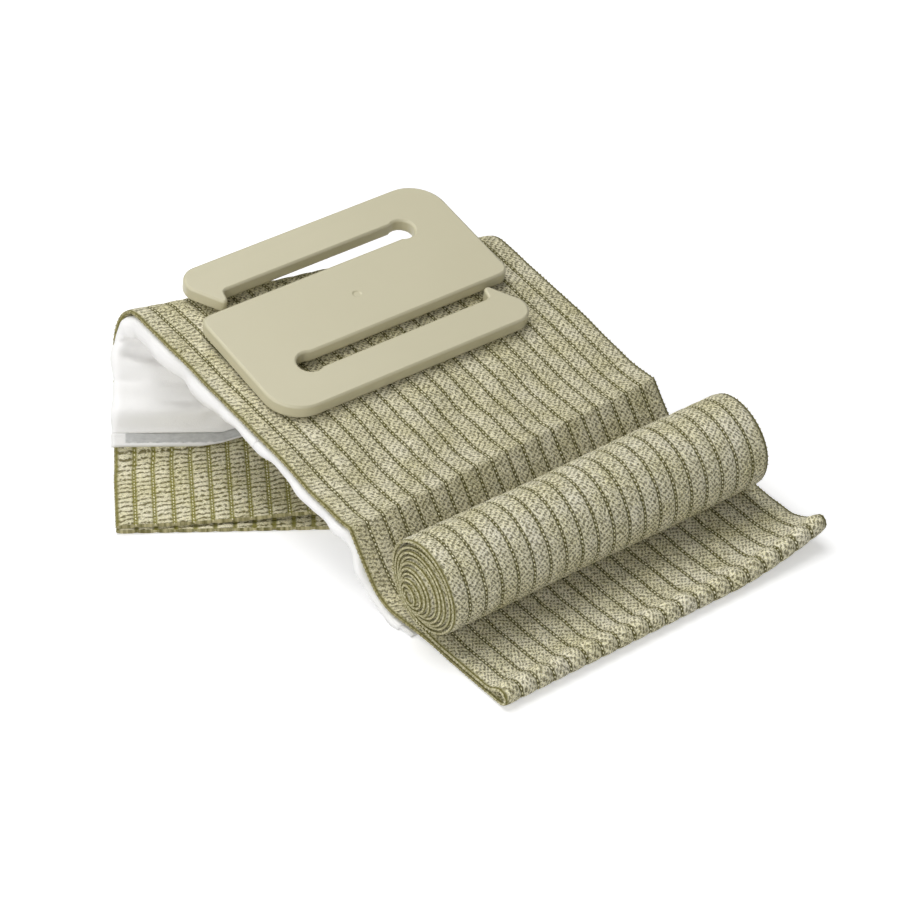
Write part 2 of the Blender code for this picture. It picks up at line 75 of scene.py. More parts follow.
def addCamera():
    data = bpy.data.cameras.new("photoCamera")
    data.lens = view["lens"]
    data.sensor_width = view["sensor"]
    data.clip_start, data.clip_end = view["clip"]
    camera = addObject("photoCamera", data)
    a, e = math.radians(view["azimuth"]), math.radians(view["elevation"])
    back = Vector((math.sin(a) * math.cos(e), -math.cos(a) * math.cos(e), math.sin(e)))
    camera.location = Vector(view["target"]) + back * view["distance"]
    camera.rotation_euler = (-back).to_track_quat("-Z", "Y").to_euler()
    scene.camera = camera

addCamera()

def linear(hexColour):
    values = [int(hexColour[k:k + 2], 16) / 255 for k in (1, 3, 5)]
    return tuple(c / 12.92 if c <= 0.04045 else ((c + 0.055) / 1.055) ** 2.4 for c in values) + (1.0,)

# A node given as a value stands for its first live output
def setInputs(node, values):
    for socket, value in values.items():
        if isinstance(value, bpy.types.Node):
            value = next(output for output in value.outputs if output.enabled)
        if isinstance(value, bpy.types.NodeSocket):
            node.id_data.links.new(value, node.inputs[socket])
        else:
            node.inputs[socket].default_value = value

def addNode(tree, kind, values=None, **settings):
    node = tree.nodes.new(kind if "Node" in kind else "ShaderNode" + kind)
    for key, value in settings.items():
        setattr(node, key, value)
    setInputs(node, values or {})
    return node

def newMaterial(name):
    material = bpy.data.materials.new(name)
    material.use_nodes = True
    tree = material.node_tree
    return material, partial(addNode, tree), tree.nodes["Principled BSDF"]

# Painted studio sweep: white to the camera, and it still takes the shadow
studio = dict(floorSize=6.0, floorZ=-0.0001, floorColour="#E9E9E9", floorRough=0.9, floorGlow=0.42,
              skyLight=0.10, aim=(0.0, 0.06, 0.015))
# Place, size and watts of each lamp
lamps = dict(backLamp=((-0.30, 0.55, 0.80), 0.60, 2.2), leftLamp=((-0.98, -0.18, 0.34), 0.90, 4.9),
             topLamp=((0.05, 0.38, 1.05), 0.80, 7.0), frontLamp=((-0.60, -0.70, 0.45), 0.60, 2.3))
white = (1.0, 1.0, 1.0, 1.0)

def addFloor():
    half, z = studio["floorSize"] / 2, studio["floorZ"]
    corners = [(-half, -half, z), (half, -half, z), (half, half, z), (-half, half, z)]
    mesh = bpy.data.meshes.new("studioFloor")
    mesh.from_pydata(corners, [], [(0, 1, 2, 3)])
    floor = addObject("studioFloor", mesh)
    material, add, shader = newMaterial("paintedSweep")
    path = add("LightPath").outputs
    seen = add("Math", {0: path["Is Camera Ray"], 1: path["Is Glossy Ray"]}, operation="MAXIMUM")
    seen = add("Math", {0: seen, 1: path["Is Transmission Ray"]}, operation="MAXIMUM")
    glow = add("Math", {0: seen, 1: studio["floorGlow"]}, operation="MULTIPLY")
    setInputs(shader, {"Base Color": linear(studio["floorColour"]), "Roughness": studio["floorRough"],
                       "Emission Color": white, "Emission Strength": glow})
    mesh.materials.append(material)

def addWorld():
    world = bpy.data.worlds.new("studioWorld")
    scene.world = world
    world.use_nodes = True
    tree = world.node_tree
    tree.nodes.clear()
    add = partial(addNode, tree)
    path = add("LightPath").outputs
    seen = add("Math", {0: path["Is Camera Ray"], 1: path["Is Transmission Ray"]}, operation="MAXIMUM")
    light = add("Background", {"Color": white, "Strength": studio["skyLight"]})
    backdrop = add("Background", {"Color": white, "Strength": 1.0})
    mixed = add("MixShader", {0: seen, 1: light, 2: backdrop})
    add("OutputWorld", {"Surface": mixed})

def addLamps():
    for name, (place, size, power) in lamps.items():
        data = bpy.data.lights.new(name, "AREA")
        data.energy = power
        data.size = size
        lamp = addObject(name, data)
        lamp.location = place
        aim = Vector(studio["aim"]) - Vector(place)
        lamp.rotation_euler = aim.to_track_quat("-Z", "Y").to_euler()

addFloor()
addWorld()
addLamps()
print("camera, floor and light set")

# Materials: the map clothMm is in mm, so a scale on it is per mm
# The loops of the knit are drawn a little coarse, so that they show
knit = dict(threadMm=1.43, courseMm=1.45, ribMm=5.0, stretchedMm=(-33.0, -42.0), selvedgeMm=(48.9, 49.6),
            selvedgeColour="#837D48", selvedgeShare=0.55, lineShare=0.88)
outerLook = dict(threads=("#7F7844", "#E0D9AE", "#FBF5DF"), hole="#4A4419", holeShare=0.64,
                 holeRange=(1.75, 2.6), line=("#322E08", "#6A651C"), lineMm=0.50, lean=0.35, crossMm=1.25,
                 edgeThreads=0.55, uneven=3.6)
# Painted light: the roll and the flap take a lighter copy of the outer knit, its threads and holes
# brightened to stand in for more light falling on the roll
woundLookPaintedLight = dict(outerLook, threads=("#88814A", "#F0E9BE", "#FFFAEA"), hole="#504A1A", edgeThreads=0.0)
innerLook = dict(threads=("#968F5D", "#E0D9AF", "#FAF4DE"), hole="#5E5726", holeShare=0.85,
                 holeRange=(1.95, 3.0), line=("#4C4814", "#A8A34A"), lineMm=0.72, lean=0.10, crossMm=1.9,
                 crossDepth=0.8, uneven=4.0)

# Cotton and elastane warp knit, heather olive and cream: matt, with irregular dark gaps between slanted
# cream loops and a thin dark line every 5 mm, where the elastic yarn lies; cross threads on the inner face
def knitMaterial(name, look):
    material, add, shader = newMaterial(name)
    uv = add("UVMap", uv_map="clothMm")
    drift = add("TexNoise", {"Vector": uv, "Scale": 0.42, "Detail": 3.0}).outputs["Color"]
    drift = add("VectorMath", {0: drift, 1: (0.5, 0.5, 0.5)}, operation="SUBTRACT")
    drift = add("VectorMath", {0: drift, 1: (1.2, 2.2, 0.0)}, operation="MULTIPLY")
    place = add("VectorMath", {0: uv, 1: drift}, operation="ADD")
    placeU, placeV = add("SeparateXYZ", {0: place}).outputs[:2]
    plainU = add("SeparateXYZ", {0: uv}).outputs[0]
    leaning = add("Math", {0: placeU, 1: look["lean"], 2: placeV}, operation="MULTIPLY_ADD")
    waves = []
    for value, pitch in ((placeU, knit["threadMm"]), (leaning, knit["courseMm"]),
                         (leaning, look["crossMm"])):
        turn = add("Math", {0: value, 1: 2 * math.pi / pitch}, operation="MULTIPLY")
        waves.append(add("Math", {0: turn}, operation="SINE"))
    if "crossDepth" in look:
        loops = add("Math", {0: waves[2], 1: look["crossDepth"]}, operation="MULTIPLY")
    else:
        loops = add("Math", {0: waves[0], 1: waves[1]}, operation="MULTIPLY")
        low, high = knit["stretchedMm"]  # the near edge is stretched, so cross threads show there
        near = add("MapRange", {0: plainU, 1: low, 2: high, 4: look["edgeThreads"]})
        loops = add("Mix", {0: near, 2: loops, 3: waves[2]})
    uneven = add("TexNoise", {"Vector": uv, "Scale": 1.05, "Detail": 2.0})
    loops = add("Math", {0: uneven, 1: look["uneven"], 2: loops}, operation="MULTIPLY_ADD")
    low, high = look["holeRange"]
    hole = add("MapRange", {0: loops, 1: low, 2: high}, interpolation_type="SMOOTHSTEP")
    slanted = add("Mapping", {"Vector": place, "Rotation": (0.0, 0.0, 0.6), "Scale": (1.5, 3.6, 1.0)})
    yarn = add("TexNoise", {"Vector": slanted, "Scale": 1.0, "Detail": 2.0})
    toLine = add("Math", {0: plainU, 1: knit["ribMm"] / 2}, operation="PINGPONG")
    wander = add("Math", {0: yarn, 1: -0.45, 2: toLine}, operation="MULTIPLY_ADD")
    low, high = look["lineMm"], look["lineMm"] * 0.25 - 0.15
    line = add("MapRange", {0: wander, 1: low, 2: high}, interpolation_type="SMOOTHSTEP")
    edge = add("Math", {0: plainU}, operation="ABSOLUTE")
    low, high = knit["selvedgeMm"]
    edge = add("MapRange", {0: edge, 1: low, 2: high})
    mottle = add("TexNoise", {"Vector": uv, "Scale": 0.11, "Detail": 3.0})
    fine = add("TexNoise", {"Vector": slanted, "Scale": 2.1, "Detail": 2.0})
    fine = add("Math", {0: mottle, 1: 0.5, 2: fine}, operation="MULTIPLY_ADD")
    shade = add("MapRange", {0: yarn, 1: 0.40, 2: 0.53})
    light = add("MapRange", {0: fine, 1: 0.62, 2: 1.0})
    hollow = add("Math", {0: hole, 1: look["holeShare"]}, operation="MULTIPLY")
    lined = add("Math", {0: line, 1: knit["lineShare"]}, operation="MULTIPLY")
    rim = add("Math", {0: edge, 1: knit["selvedgeShare"]}, operation="MULTIPLY")
    dark, pale, bright = (linear(colour) for colour in look["threads"])
    lineDark, linePale = (linear(colour) for colour in look["line"])
    tint = add("Mix", {0: uneven, 6: lineDark, 7: linePale}, data_type="RGBA")
    colour = add("Mix", {0: shade, 6: dark, 7: pale}, data_type="RGBA")
    for share, over in ((light, bright), (hollow, linear(look["hole"])), (lined, tint),
                        (rim, linear(knit["selvedgeColour"]))):
        colour = add("Mix", {0: share, 6: colour, 7: over}, data_type="RGBA")
    height = add("Math", {0: hole, 1: -1.0, 2: yarn}, operation="MULTIPLY_ADD")
    height = add("Math", {0: line, 1: -0.5, 2: height}, operation="MULTIPLY_ADD")
    bump = add("Bump", {"Height": height, "Strength": 0.8, "Distance": 0.00035})
    rough = add("MapRange", {0: yarn, 1: 0.2, 2: 0.8, 3: 0.96, 4: 0.82})
    setInputs(shader, {"Base Color": colour, "Normal": bump, "Roughness": rough,
                       "Specular IOR Level": 0.12, "Sheen Weight": 0.03})
    return material

outerKnit = knitMaterial("elasticKnitOuterFace", outerLook)
woundKnitPaintedLight = knitMaterial("elasticKnitWoundPaintedLight", woundLookPaintedLight)
innerKnit = knitMaterial("elasticKnitInnerFace", innerLook)

# Bound selvedge of the knit: denser yarn, matt, with single loops showing, olive outside, cream in the roll
def selvedgeMaterial(name, dark, light):
    material, add, shader = newMaterial(name)
    uv = add("UVMap", uv_map="clothMm")
    space = add("VectorMath", {0: uv, 1: (1.0, 1.5, 1.0)}, operation="MULTIPLY")
    yarn = add("TexNoise", {"Vector": space, "Scale": 1.1, "Detail": 2.0})
    shade = add("MapRange", {0: yarn, 1: 0.35, 2: 0.65})
    colour = add("Mix", {0: shade, 6: linear(dark), 7: linear(light)}, data_type="RGBA")
    bump = add("Bump", {"Height": yarn, "Strength": 0.6, "Distance": 0.0003})
    rough = add("MapRange", {0: yarn, 1: 0.2, 2: 0.8, 3: 0.95, 4: 0.8})
    setInputs(shader, {"Base Color": colour, "Normal": bump, "Roughness": rough})
    return material

selvedgeYarn = selvedgeMaterial("boundSelvedgeYarn", "#6A6538", "#B9B186")
woundYarn = selvedgeMaterial("woundEdgeYarn", "#8C865A", "#D2CCA8")

# Polypropylene nonwoven over the absorbent core: soft white, slightly waxy, fine fibres
def facingMaterial():
    material, add, shader = newMaterial("nonwovenPadFacing")
    spot = add("TexCoord").outputs["Object"]
    soft = add("TexNoise", {"Vector": spot, "Scale": 70.0, "Detail": 3.0})
    fibre = add("TexNoise", {"Vector": spot, "Scale": 1500.0, "Detail": 2.0, "Distortion": 1.2})
    colour = add("Mix", {0: soft, 6: linear("#F3F2F0"), 7: linear("#F8F7F5")}, data_type="RGBA")
    height = add("Math", {0: soft, 1: 3.0, 2: fibre}, operation="MULTIPLY_ADD")
    bump = add("Bump", {"Height": height, "Strength": 0.22, "Distance": 0.0003})
    rough = add("MapRange", {0: fibre, 1: 0.3, 2: 0.7, 3: 0.55, 4: 0.42})
    setInputs(shader, {"Base Color": colour, "Normal": bump, "Roughness": rough, "Sheen Weight": 0.10})
    return material

padFacing = facingMaterial()

# Heat-sealed pad hem: pressed flat, grey where film and fibre melted together, white at its outer rim
def hemMaterial():
    material, add, shader = newMaterial("heatSealedPadHem")
    uv = add("UVMap", uv_map="clothMm")
    space = add("VectorMath", {0: uv, 1: (0.55, 1.1, 1.0)}, operation="MULTIPLY")
    blotch = add("TexNoise", {"Vector": space, "Scale": 1.0, "Detail": 4.0, "Roughness": 0.65})
    grey = add("Mix", {0: blotch, 6: linear("#9C9D9D"), 7: linear("#DADAD7")}, data_type="RGBA")
    placeU, placeV = add("SeparateXYZ", {0: uv}).outputs[:2]
    wave = add("Math", {0: blotch, 1: 0.9, 2: placeV}, operation="MULTIPLY_ADD")
    rim = add("MapRange", {0: wave, 1: 2.9, 2: 3.2})
    ends = add("Math", {0: placeU}, operation="ABSOLUTE")
    ends = add("MapRange", {0: ends, 1: 47.4, 2: 47.9})
    rim = add("Math", {0: rim, 1: ends}, operation="MAXIMUM")
    colour = add("Mix", {0: rim, 6: grey, 7: linear("#EDECEA")}, data_type="RGBA")
    bump = add("Bump", {"Height": blotch, "Strength": 0.5, "Distance": 0.0003})
    rough = add("MapRange", {0: blotch, 1: 0.3, 2: 0.7, 3: 0.35, 4: 0.6})
    setInputs(shader, {"Base Color": colour, "Normal": bump, "Roughness": rough})
    return material

sealedHem = hemMaterial()

# Injection-moulded ABS in sand: even satin face with the mould's fine spark-eroded grain
def plateMaterial():
    material, add, shader = newMaterial("mouldedSandAbs")
    spot = add("TexCoord").outputs["Object"]
    grain = add("TexNoise", {"Vector": spot, "Scale": 2600.0, "Detail": 2.0})
    flow = add("TexNoise", {"Vector": spot, "Scale": 28.0, "Detail": 2.0})
    colour = add("Mix", {0: flow, 6: linear("#C8C2A4"), 7: linear("#CFC9AC")}, data_type="RGBA")
    bump = add("Bump", {"Height": grain, "Strength": 0.10, "Distance": 0.0001})
    rough = add("MapRange", {0: grain, 1: 0.3, 2: 0.7, 3: 0.38, 4: 0.30})
    setInputs(shader, {"Base Color": colour, "Normal": bump, "Roughness": rough, "IOR": 1.53})
    return material

mouldedAbs = plateMaterial()

# Cream cotton yarn: matt, a little fuzzy, brighter than the ground because it floats over the line
def yarnMaterial(name, dark, light):
    material, add, shader = newMaterial(name)
    spot = add("TexCoord").outputs["Object"]
    fuzz = add("TexNoise", {"Vector": spot, "Scale": 900.0, "Detail": 2.0})
    shade = add("MapRange", {0: fuzz, 1: 0.35, 2: 0.65})
    colour = add("Mix", {0: shade, 6: linear(dark), 7: linear(light)}, data_type="RGBA")
    rough = add("MapRange", {0: fuzz, 1: 0.2, 2: 0.8, 3: 0.95, 4: 0.75})
    setInputs(shader, {"Base Color": colour, "Roughness": rough})
    return material

fleckYarn = yarnMaterial("creamFloatYarn", "#D2CC9E", "#F7F2D4")
bindingYarn = yarnMaterial("oliveBindingYarn", "#746F42", "#C6BF96")
woundBinding = yarnMaterial("creamBindingYarn", "#9A9468", "#E2DCC0")
print("materials made")

# Strip of wrap: a closed tube of rings, outer face, far edge, inner face, near edge
wrap = dict(halfWidth=0.050, thickness=0.0012, gap=0.0003, ribPitch=0.005, ribDepth=0.00024, ribSoft=0.0007,
            edgeRound=0.00028, columns=121, bendHalf=0.004)

def smoothStep(value):
    value = np.clip(value, 0.0, 1.0)
    return value * value * (3 - 2 * value)

# From 0 at the start to 1 a width further on
def ramp(value, start, width):
    return smoothStep((value - start) / width)

def unit(vectors):
    return vectors / np.linalg.norm(vectors, axis=-1, keepdims=True)

def lengthAlong(path):
    return np.concatenate([[0.0], np.cumsum(np.linalg.norm(np.diff(path, axis=0), axis=1))])

def aroundRing(face):
    return np.concatenate([face, face[:, -1:], face[:, ::-1], face[:, :1]], axis=1)

def smoothRows(points, reach):
    span = int(math.ceil(reach * 3))
    kernel = np.exp(-0.5 * (np.arange(-span, span + 1) / reach) ** 2)
    kernel /= kernel.sum()
    head = 2 * points[:1] - points[span:0:-1]
    foot = 2 * points[-1:] - points[-2:-span - 2:-1]
    padded = np.concatenate([head, points, foot])
    return sum(weight * padded[k:k + len(points)] for k, weight in enumerate(kernel))

def softNear(points, soft, distance, reach):
    near = np.exp(-(distance / reach) ** 2)[..., None]
    return points * (1 - near) + soft * near

def ringMesh(name, rings, uv, kinds, materials, columns):
    rows, count = rings.shape[:2]
    index = np.arange(rows * count).reshape(rows, count)
    following = np.roll(index, -1, axis=1)
    sides = np.stack([index[:-1], following[:-1], following[1:], index[1:]], axis=-1).reshape(-1, 4)
    faces = sides.tolist()
    between = count // 2 - columns  # points on each side edge
    for row, turned in ((0, False), (rows - 1, True)):
        ring = index[row].tolist()
        low = ring[count - between - 1:columns + between - 1:-1]
        caps = [[ring[j], low[j], low[j + 1], ring[j + 1]] for j in range(columns - 1)]
        caps.append([ring[columns - 1]] + ring[columns:columns + between + 1][::-1])
        caps.append([ring[0]] + ring[count - between - 1:][::-1])
        faces += [cap[::-1] if turned else cap for cap in caps]
    mesh = bpy.data.meshes.new(name)
    mesh.from_pydata(rings.reshape(-1, 3).tolist(), [], faces)
    mesh.polygons.foreach_set("use_smooth", np.arange(len(faces)) < len(sides))
    slots = np.full(len(faces), kinds.max(), np.int32)
    slots[:len(sides)] = np.tile(kinds, rows - 1)
    mesh.polygons.foreach_set("material_index", slots)
    for material in materials:
        mesh.materials.append(material)
    corners = np.zeros(len(mesh.loops), np.int32)
    mesh.loops.foreach_get("vertex_index", corners)
    layer = mesh.uv_layers.new(name="clothMm")
    layer.data.foreach_set("uv", uv.reshape(-1, 2)[corners].astype(np.float32).ravel())
    mesh.update()
    return addObject(name, mesh)

def ribRelief(u):
    toLine = np.abs((u / wrap["ribPitch"] + 0.5) % 1.0 - 0.5) * wrap["ribPitch"]
    return -wrap["ribDepth"] * np.exp(-(toLine / wrap["ribSoft"]) ** 2)

strips = {}  # outer and inner faces, normals and fold weights, kept for the stitches
knitFaces = (outerKnit, innerKnit, selvedgeYarn)

def clothStrip(name, points, u, v, relief, weight, materials=knitFaces, thickness=wrap["thickness"]):
    normal = unit(np.cross(np.gradient(points, axis=1), np.gradient(points, axis=0)))
    rib = ribRelief(u)[None, :]
    outer = points + normal * (relief + rib)[..., None]
    inner = points + normal * (relief - thickness - rib)[..., None]
    edges = []
    for end, inward in ((-1, -2), (0, 1)):
        side = unit(points[:, end] - points[:, inward])
        edges.append(((outer[:, end] + inner[:, end]) / 2 + side * wrap["edgeRound"])[:, None])
    rings = np.concatenate([outer, edges[0], inner[:, ::-1], edges[1]], axis=1)
    edgeU = u[-1] + wrap["edgeRound"]
    ringV = aroundRing(v)
    ringU = np.broadcast_to(np.concatenate([u, [edgeU], u[::-1], [-edgeU]]), ringV.shape)
    columns = len(u)
    kinds = np.zeros(rings.shape[1], int)
    kinds[columns + 1:2 * columns] = 1
    kinds[[columns - 1, columns, 2 * columns, 2 * columns + 1]] = 2
    obj = ringMesh(name, rings, np.stack([ringU, ringV], axis=-1) / mm, kinds, materials, columns)
    strips[name] = dict(outer=outer, inner=inner, normal=normal, u=u, weight=weight)
    return obj, aroundRing(weight)

def bendWith(obj, ringWeight, first, second, start, end):
    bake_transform(obj)

def bendShare(distance):
    return ramp(distance, -wrap["bendHalf"], 2 * wrap["bendHalf"])

# Shape of the wrap: side path of the floor run and step, then the sloping panel and its fold
lead = dict(corners=((-0.0113, 0.0012), (0.013, 0.0012), (0.0374, 0.0035), (0.0494, 0.0204)),
            fillets=(0.060, 0.012), yaw=math.radians(2.0), rowStep=0.00075)
panel = dict(slopeLength=0.076, skew=math.radians(15.2), foldAngle=math.radians(148.5), foldRadius=0.0077,
             troughReach=0.010, troughDepth=0.0011, troughEnd=0.033, seam=0.038,
             foldBefore=0.008, foldBeyond=0.001)
# Puckers of the slope just above the crease: their start, and their middle and reach along and across
pucker = dict(startV=0.004, middleV=0.012, reachV=0.014, middleU=0.002, reachU=0.028, everywhere=0.35,
              waves=dict(seed=11, count=4, length=0.012, height=0.00050))
foldMean = panel["foldRadius"] - wrap["thickness"] / 2
foldEnd = foldMean * panel["foldAngle"]
foldAxis = crease + uphill * panel["slopeLength"] - above * panel["foldRadius"]
skewSin, skewCos, skewTan = math.sin(panel["skew"]), math.cos(panel["skew"]), math.tan(panel["skew"])
ridgeHinge = np.array(joints["ridge_unfold"]["pos_m"])
creaseBend = ("base", "dressing", crease - uphill * wrap["bendHalf"], crease + uphill * wrap["bendHalf"])
ridgeBend = ("dressing", "back", ridgeHinge - ridgeOut * panel["foldBefore"],
             ridgeHinge + ridgeOut * panel["foldBeyond"])

def filletPath(corners, radii, steps=24):
    points = [np.array(corners[0])]
    for k, radius in enumerate(radii, 1):
        here = np.array(corners[k])
        before, after = unit(np.array(corners[k - 1]) - here), unit(np.array(corners[k + 1]) - here)
        half = math.acos(before @ after) / 2
        centre = here + unit(before + after) * (radius / math.sin(half))
        first = here + before * (radius / math.tan(half)) - centre
        last = here + after * (radius / math.tan(half)) - centre
        for t in np.linspace(0, 1, steps + 1):
            points.append(centre + unit(first + (last - first) * t) * radius)
    points.append(np.array(corners[-1]))
    return np.array(points)

leadPath = filletPath(lead["corners"], lead["fillets"])
leadReach = lengthAlong(leadPath)
leadTurn = np.gradient(leadPath, leadReach, axis=0)
riseY, creaseY = lead["corners"][1][0], crease[1]

def leadAt(reach, table):
    return np.array([np.interp(reach, leadReach, table[:, k]) for k in (0, 1)])

def leadPoint(u, v, depth):
    reach = leadReach[-1] + np.minimum(v, 0.0)
    y, z = leadAt(reach, leadPath)
    turnY, turnZ = leadAt(reach, leadTurn)
    share = smoothStep((y - riseY) / (creaseY - riseY))
    turned = u * math.tan(lead["yaw"]) * share
    return np.stack([u + crease[0] * share, y + turnZ * depth + turned, z - turnY * depth], axis=-1)

def flatDistance(u, v):
    return u * skewSin + (v - panel["slopeLength"]) * skewCos

def distanceToLength(u, s):
    return panel["slopeLength"] + (s - u * skewSin) / skewCos

def dressingPoint(u, s, depth):
    turn = np.clip(s / foldMean, 0.0, panel["foldAngle"])[..., None]
    run = (np.minimum(s, 0.0) + np.maximum(s - foldEnd, 0.0))[..., None]
    ray = above * np.cos(turn) + ridgeOut * np.sin(turn)
    down = ridgeOut * np.cos(turn) - above * np.sin(turn)
    along = (u / skewCos - s * skewTan)[..., None]
    return foldAxis + ridge * along + ray * (panel["foldRadius"] - depth)[..., None] + down * run

def wrapPoint(u, v, depth):
    u, v, depth = np.broadcast_arrays(u, v, depth)
    onPanel = dressingPoint(u, flatDistance(u, np.maximum(v, 0.0)), depth)
    return np.where((v < 0.0)[..., None], leadPoint(u, v, depth), onPanel)

def reachAt(y):
    return np.interp(y, leadPath[:, 0], leadReach) - leadReach[-1]

def rowsToSeam(rows, step):
    return np.append(rows[panel["seam"] - rows > step / 3], panel["seam"])

def wrinkles(u, v, seed, count, length, height, lean=0.9, shortest=0.7, longest=1.6):
    draw = np.random.default_rng(seed)
    total = np.zeros(np.broadcast(u, v).shape)
    for k in range(count):
        angle, phase = draw.uniform(-lean, lean), draw.uniform(0, 2 * math.pi)
        wave = length * draw.uniform(shortest, longest)
        total += np.sin((v * math.cos(angle) + u * math.sin(angle)) * 2 * math.pi / wave + phase)
    return height * total / math.sqrt(count)

def slopeRelief(u, v):
    far = np.maximum(v, 0.0) / panel["troughReach"]
    trough = far * np.exp(1 - far) * (1 - ramp(v, panel["troughEnd"] / 2, panel["troughEnd"] / 2))
    folds = ramp(v, 0.0, pucker["startV"]) * np.exp(-((v - pucker["middleV"]) / pucker["reachV"]) ** 2)
    folds = folds * (pucker["everywhere"] + np.exp(-((u - pucker["middleU"]) / pucker["reachU"]) ** 2))
    return folds * wrinkles(u, v, **pucker["waves"]) - panel["troughDepth"] * trough

columnsU = np.linspace(-wrap["halfWidth"], wrap["halfWidth"], wrap["columns"])

# Floor run, step and the low half of the slope
stepWrap = dict(startY=-0.003, creaseSoft=0.00045, creaseReach=0.004, creaseStep=0.00035, creaseZone=0.0049)

def buildStepWrap():
    zone = stepWrap["creaseZone"]
    rows = np.concatenate([np.arange(reachAt(stepWrap["startY"]), -zone, lead["rowStep"]),
                           np.arange(-zone, zone, stepWrap["creaseStep"]),
                           np.arange(zone, panel["seam"], lead["rowStep"])])
    rows = rowsToSeam(rows, lead["rowStep"])
    u, v = np.broadcast_arrays(columnsU[None, :], rows[:, None])
    points = wrapPoint(u, v, 0.0)
    soft = smoothRows(points, stepWrap["creaseSoft"] / stepWrap["creaseStep"])
    points = softNear(points, soft, v, stepWrap["creaseReach"])
    obj, ringWeight = clothStrip("wrapStep", points, columnsU, v, slopeRelief(u, v), bendShare(v))
    bendWith(obj, ringWeight, *creaseBend)
    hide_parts("wrap_lead")

buildStepWrap()

# High half of the slope, the fold at the ridge and the panel beyond it
ridgeWrap = dict(rows=112, splitShare=0.55, calmLength=0.010,
                 waves=dict(seed=23, count=3, length=0.016, height=0.00010))
tail = dict(outerZ=0.0015, turn=math.radians(-31.8), nearLength=0.022, farLength=0.0613, rows=84,
            calmLength=0.006, bendRows=2.2, bendReach=0.008, lift=0.0022, liftLength=0.020,
            liftStartU=-0.030, liftWidth=0.060, waves=dict(seed=37, count=3, length=0.018, height=0.00012))

def footDistance(u, depth, height):
    base = dressingPoint(u, np.full_like(u, foldEnd), np.full_like(u, depth))[..., 2]
    fall = ridgeOut[2] * math.cos(panel["foldAngle"]) - above[2] * math.sin(panel["foldAngle"])
    return foldEnd + (height - base) / (fall - ridge[2] * skewTan)

footV = distanceToLength(columnsU, footDistance(columnsU, 0.0, tail["outerZ"]))
foldV = distanceToLength(columnsU, np.full_like(columnsU, foldEnd))
splitV = foldV + (footV - foldV) * ridgeWrap["splitShare"]
print("panel foot at", (footV[[0, -1]] / mm).round(1), "mm")
print("fold ends at", (foldV[[0, -1]] / mm).round(1), "mm")

def buildRidgeWrap():
    share = np.linspace(0.0, 1.0, ridgeWrap["rows"])[:, None]
    v = panel["seam"] + (splitV[None, :] - panel["seam"]) * share
    u = np.broadcast_to(columnsU, v.shape)
    relief = wrinkles(u, v, **ridgeWrap["waves"]) * ramp(v, panel["seam"], ridgeWrap["calmLength"])
    weight = smoothStep(flatDistance(u, v) / foldEnd)
    obj, ringWeight = clothStrip("wrapRidge", wrapPoint(u, v, 0.0), columnsU, v, relief, weight)
    bendWith(obj, ringWeight, *ridgeBend)
    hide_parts("wrap_front_panel", "wrap_back_panel")

buildRidgeWrap()

# Flat directions along the front edge of a turned layer, and ahead of it
def floorTurn(turn):
    along = np.array([math.cos(turn), math.sin(turn), 0.0])
    return along, np.array([along[1], -along[0], 0.0])

# End of the wrap: the last of the far panel, its bend on the floor and the tail
def buildTailWrap():
    share = np.linspace(0.0, 1.0, tail["rows"])[:, None]
    farShare = (columnsU + wrap["halfWidth"]) / (2 * wrap["halfWidth"])
    endV = footV + tail["nearLength"] + (tail["farLength"] - tail["nearLength"]) * farShare
    v = splitV[None, :] + (endV - splitV)[None, :] * share
    u = np.broadcast_to(columnsU, v.shape)
    beyond = v - footV[None, :]
    ahead = floorTurn(tail["turn"])[1]
    points = wrapPoint(u, np.minimum(v, footV[None, :]), 0.0) + ahead * np.maximum(beyond, 0.0)[..., None]
    points = softNear(points, smoothRows(points, tail["bendRows"]), beyond, tail["bendReach"])
    atFront = np.clip(1 - (endV - v) / tail["liftLength"], 0.0, 1.0)
    points[..., 2] += tail["lift"] * ramp(u, tail["liftStartU"], tail["liftWidth"]) * atFront ** 2
    relief = wrinkles(u, v, **tail["waves"]) * ramp(v, splitV[None, :], tail["calmLength"])
    obj, ringWeight = clothStrip("wrapTail", points, columnsU, v, relief, bendShare(beyond))
    hinge, half = np.array(joints["tail_unfold"]["pos_m"]), wrap["bendHalf"]
    bendWith(obj, ringWeight, "back", "tail", hinge - ahead * half, hinge + ahead * half)
    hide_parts("wrap_tail")
    return points[-1, 0]

tailCorner = buildTailWrap()

# Lower layer of the tail, from the tail's near front corner back along the floor
tailUnder = dict(turn=math.radians(-35.3), length=0.016, rows=22)

def buildTailUnder():
    along, ahead = floorTurn(tailUnder["turn"])
    rows = np.linspace(0.0, tailUnder["length"], tailUnder["rows"])
    u, w = np.broadcast_arrays(columnsU[None, :], rows[:, None])
    corner = np.array([tailCorner[0], tailCorner[1], 0.0])
    back = (tailUnder["length"] - w)[..., None]
    points = corner + along * (u + wrap["halfWidth"])[..., None] - ahead * back
    obj, ringWeight = clothStrip("wrapTailUnder", points, columnsU, w, np.zeros_like(w), np.ones_like(w))
    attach(obj, "tail")
    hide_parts("wrap_tail_under")

buildTailUnder()
print("panels of the wrap made")

